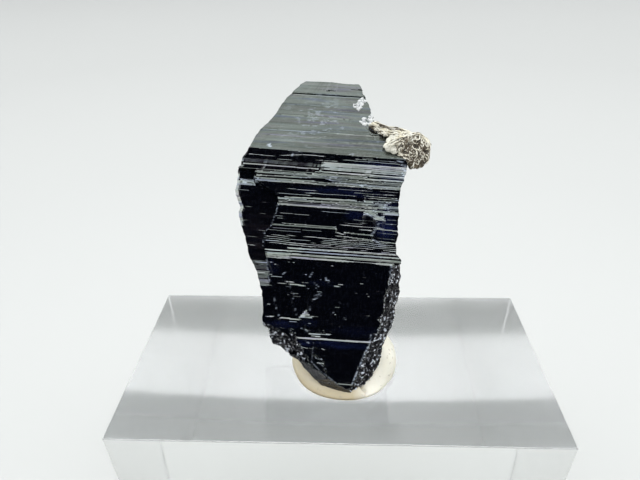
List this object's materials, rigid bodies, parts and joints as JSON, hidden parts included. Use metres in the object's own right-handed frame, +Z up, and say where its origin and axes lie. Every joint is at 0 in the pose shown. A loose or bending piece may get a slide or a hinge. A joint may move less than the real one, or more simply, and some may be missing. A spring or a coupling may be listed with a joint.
{
  "type": "anatase crystal on display block",
  "caption": "Blue-black stepped anatase crystal leaning back in a pad of cream mineral putty on a clear rectangular display block.",
  "frame": {"origin": "middle of the display block's underside", "axes": "+Z up out of the block's top, -Y towards the viewer and the crystal's front, +X to the viewer's right along the block's long side"},
  "size_m": [0.0242, 0.0144, 0.039],
  "materials": {
    "anatase": "adamantine gloss, striated",
    "matrix": "rough, fibrous",
    "crust": "satin",
    "putty": "matt, kneaded",
    "acrylic": "polished clear"
  },
  "bodies": {
    "root": {"anatase_crystal": "anatase", "matrix_fragment": "matrix", "crust_grain_upper": "crust", "crust_grain_lower": "crust", "putty_pad": "putty", "acrylic_block": "acrylic"}
  },
  "joints": []
}
